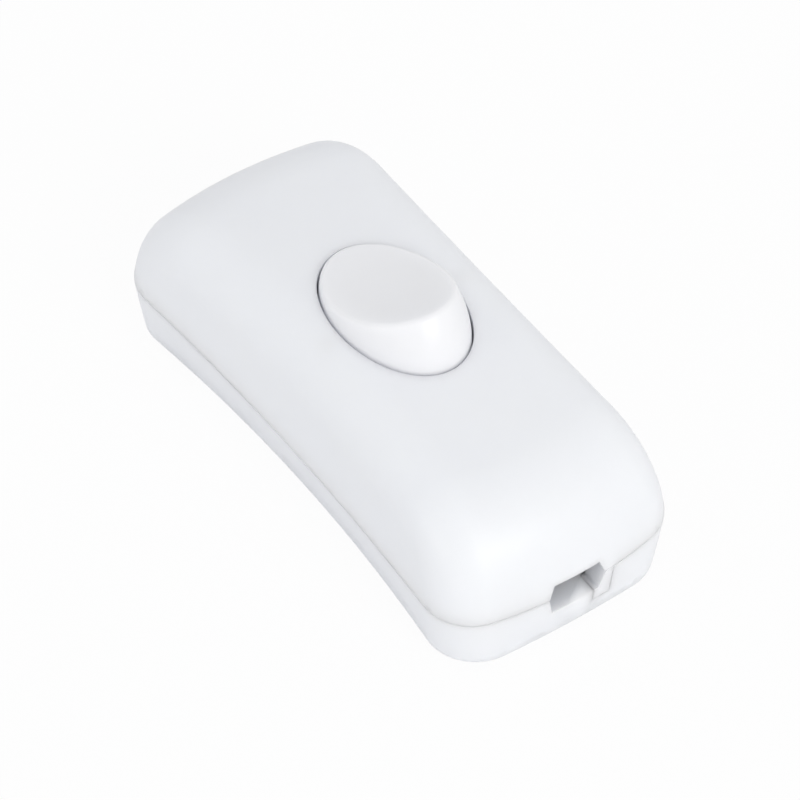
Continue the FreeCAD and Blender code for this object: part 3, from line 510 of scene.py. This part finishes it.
def turnedScrew(name, c, length):
    around = c["around"]
    core = c["threadRadius"] - c["threadDepth"]
    rows = [(np.full(around, radius), np.full(around, depth)) for radius, depth in headProfile(c, core)]
    first = len(rows)
    rows += threadRows(c, core, c["headHeight"] + c["edge"], length - c["pointLength"])
    last = len(rows) - 1
    rows.append((np.full(around, c["tipRadius"]), np.full(around, length - c["tipRound"])))
    angle = np.arange(around) * 2 * math.pi / around
    way = -1 if c["headUp"] else 1
    rings = [
        np.column_stack((radius * np.cos(angle), way * radius * np.sin(angle), way * depth))
        for radius, depth in rows
    ]
    points = np.vstack(rings + [[(0, 0, 0), (0, 0, way * length)]]).tolist()
    faces = joinedRows(len(rows), first, last, c)
    top, tip = len(points) - 2, len(points) - 1
    lowest = (len(rows) - 1) * around
    for k in range(around):
        after = (k + 1) % around
        faces.append((top, k, after))
        faces.append((tip, lowest + after, lowest + k))
    mesh = bpy.data.meshes.new(name)
    mesh.from_pydata(points, [], faces)
    work = bmesh.new()
    work.from_mesh(mesh)
    bmesh.ops.remove_doubles(work, verts=work.verts, dist=c["merge"])
    bmesh.ops.recalc_face_normals(work, faces=work.faces)
    work.to_mesh(mesh)
    work.free()
    return newPiece(name, mesh)


def cutSlot(screw, c):
    work = bmesh.new()
    bmesh.ops.create_cube(work, size=1)
    across = (3 * c["headRadius"], c["slotWidth"], 2 * c["slotDepth"])
    bmesh.ops.scale(work, vec=across, verts=work.verts)
    mesh = bpy.data.meshes.new("slotCutter")
    work.to_mesh(mesh)
    work.free()
    cutter = newPiece("slotCutter", mesh)
    slot = screw.modifiers.new("slot", "BOOLEAN")
    slot.operation = "DIFFERENCE"
    slot.solver = "EXACT"
    slot.object = cutter
    applied(screw)
    bpy.data.objects.remove(cutter)


def setOutTree():
    # one copy of an object at each point, each turned by its own amount about its axis
    tree, given = startTree(
        "setOut", Places="Geometry", Screw="Object", Widest="Float", Seed="Int", Finish="Material"
    )
    model = makeNode(tree, "GeometryNodeObjectInfo", out="Geometry", Object=given["Screw"])
    angle = makeNode(
        tree, "FunctionNodeRandomValue", {"data_type": "FLOAT"}, out=1,
        in2=0.0, in3=given["Widest"], Seed=given["Seed"],
    )
    about = makeNode(tree, "ShaderNodeCombineXYZ", Z=angle)
    turn = makeNode(tree, "FunctionNodeEulerToRotation", Euler=about)
    spread = makeNode(
        tree, "GeometryNodeInstanceOnPoints", Points=given["Places"], Instance=model, Rotation=turn
    )
    endTree(tree, spread, given["Finish"])
    return tree


def makeScrews(name, c, tree):
    boxes = [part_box(node) for node in c["nodes"]]
    low, high = boxes[0]
    model = turnedScrew(name + "Model", c, high.z - low.z)
    cutSlot(model, c)
    shadeSmooth(model.data, c["sharp"])
    heads = []
    for low, high in boxes:
        middle = (low + high) / 2
        heads.append((middle.x, middle.y, high.z if c["headUp"] else low.z))
    places = bpy.data.meshes.new(name)
    places.from_pydata(heads, [], [])
    piece = newPiece(name, places)
    grow(piece, tree, Screw=model, Widest=math.pi, Seed=c["seed"], Finish=finishes["zincPlate"])
    bpy.data.objects.remove(model)
    handOver(piece, "zincPlate", "housing", c["nodes"])


setOut = setOutTree()
makeScrews("terminalScrews", terminalScrew, setOut)
makeScrews("clampScrews", clampScrew, setOut)
makeScrews("closingScrews", closingScrew, setOut)
print("screws cut and set out")

# The plunger's spring, wound by a node tree with a closed turn at each end

plungerSpring = {
    "wireRadius": 0.00022,
    "turns": 7.0,
    "pointsPerTurn": 28,
    "sides": 12,
    "sharp": 40.0,
}


def springTree():
    # Start is what the modifier hands in, and the wire is wound without it
    tree, given = startTree(
        "wound", Start="Geometry", Wire="Float", Coil="Float", Height="Float",
        Turns="Float", Points="Int", Sides="Int", Finish="Material",
    )
    coil = makeNode(
        tree, "GeometryNodeCurveSpiral", Resolution=given["Points"], Rotations=given["Turns"],
        Start_Radius=given["Coil"], End_Radius=given["Coil"], Height=0.0,
    )
    along = makeNode(tree, "GeometryNodeSplineParameter") * given["Turns"]
    closed = given["Wire"] * 2
    foot = closed * along.clamped()
    body = (given["Height"] - closed * 2) * ((along - 1) / (given["Turns"] - 2)).clamped()
    head = closed * (along - given["Turns"] + 1).clamped()
    lift = makeNode(tree, "ShaderNodeCombineXYZ", Z=foot + body + head)
    wound = makeNode(tree, "GeometryNodeSetPosition", Geometry=coil, Offset=lift)
    section = makeNode(
        tree, "GeometryNodeCurvePrimitiveCircle", Resolution=given["Sides"], Radius=given["Wire"]
    )
    wire = makeNode(tree, "GeometryNodeCurveToMesh", Curve=wound, Profile_Curve=section, Fill_Caps=True)
    endTree(tree, wire, given["Finish"])
    return tree


def makeSpring(c):
    # its bore's axis runs through the rocker's pivot
    joints = {joint["name"]: joint for joint in frame["joints"]}
    slide = joints["plunger_slide"]
    axis = Vector(slide["axis"]).normalized()
    pivot = Vector(joints["rocker_hinge"]["pos_m"])
    solid = np.array([point.co - pivot for point in frame["nodes"]["plunger_spring"].data.vertices])
    reach = solid @ np.array(axis)
    outer = float(np.linalg.norm(solid - np.outer(reach, axis), axis=1).max())
    foot = pivot + axis * float(reach.min())
    tall = float(reach.max() - reach.min())
    wire = c["wireRadius"]
    piece = newPiece("plungerSpring", bpy.data.meshes.new("plungerSpring"))
    grow(
        piece, springTree(), Wire=wire, Coil=outer - wire, Height=tall - 2 * wire, Turns=c["turns"],
        Points=c["pointsPerTurn"], Sides=c["sides"], Finish=finishes["springWire"],
    )
    lean = Vector((0, 0, 1)).rotation_difference(axis).to_matrix().to_4x4()
    piece.data.transform(Matrix.Translation(foot + axis * wire) @ lean)
    shadeSmooth(piece.data, c["sharp"])
    handOver(piece, "springWire", "rocker", ["plunger_spring"])
    low, high = slide["range_m"]
    keep = (tall - (high - low)) / tall
    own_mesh(piece)
    print("spring wound,", round(tall * 1000, 2), "mm long")


makeSpring(plungerSpring)

# Stage and light

white = (1.0, 1.0, 1.0)
stage = {
    "floorSize": 3.0,
    "floorTone": 0.9,
    "floorDrop": 0.0001,       # keeps the floor clear of the flat base
    "floorShown": 0.93,        # share of plain white that the camera sees, the rest being shadow
    "worldLight": 0.79,
    "worldTint": (0.975, 0.98, 1.0),
}
nearEndBox = {
    "spot": (0.857, 0.0, 0.514),
    "aim": (0.0, 0.0, 0.01),
    "size": 0.6,
    "power": 2.67,
    "colour": (1.0, 0.98, 0.94),
}
sideBox = {
    **nearEndBox,
    "spot": (0.0, -0.958, 0.287),
    "power": 0.72,
    "colour": white,
}


def layFloor(c):
    half, low = c["floorSize"] / 2, -c["floorDrop"]
    corners = [(-half, -half, low), (half, -half, low), (half, half, low), (-half, half, low)]
    mesh = bpy.data.meshes.new("floor")
    mesh.from_pydata(corners, [], [(0, 1, 2, 3)])
    made, tree = newMaterial("paleFloor")
    plain = makeNode(tree, "ShaderNodeBsdfDiffuse", Color=(c["floorTone"],) * 3)
    lit = makeNode(tree, "ShaderNodeEmission", Color=white, Strength=1.0)
    seen = makeNode(tree, "ShaderNodeLightPath", out="Is Camera Ray")
    mixed = makeNode(tree, "ShaderNodeMixShader", in0=seen * c["floorShown"], in1=plain, in2=lit)
    makeNode(tree, "ShaderNodeOutputMaterial", Surface=mixed)
    mesh.materials.append(made)
    newPiece("floor", mesh)


def lightWorld(c):
    world = bpy.data.worlds.new("studio")
    scene.world = world
    world.use_nodes = True
    tree = world.node_tree
    tree.nodes.clear()
    shown = makeNode(tree, "ShaderNodeLightPath", out="Is Camera Ray")
    for ray in ("Is Glossy Ray", "Is Transmission Ray"):
        shown = shown.maths("MAXIMUM", shown, makeNode(tree, "ShaderNodeLightPath", out=ray))
    strength = c["worldLight"] + shown * (1 - c["worldLight"])
    tint = mixColours(tree, shown, c["worldTint"], white)
    back = makeNode(tree, "ShaderNodeBackground", Color=tint, Strength=strength)
    makeNode(tree, "ShaderNodeOutputWorld", Surface=back)


def softLamp(name, spot, aim, size, power, colour):
    data = bpy.data.lights.new(name, "AREA")
    data.shape = "DISK"
    data.size = size
    data.energy = power
    data.color = colour
    lamp = bpy.data.objects.new(name, data)
    scene.collection.objects.link(lamp)
    lamp.location = spot
    lamp.rotation_euler = (Vector(aim) - Vector(spot)).to_track_quat("-Z", "Y").to_euler()


layFloor(stage)
lightWorld(stage)
softLamp("nearEndBox", **nearEndBox)
softLamp("sideBox", **sideBox)
print("stage lit")
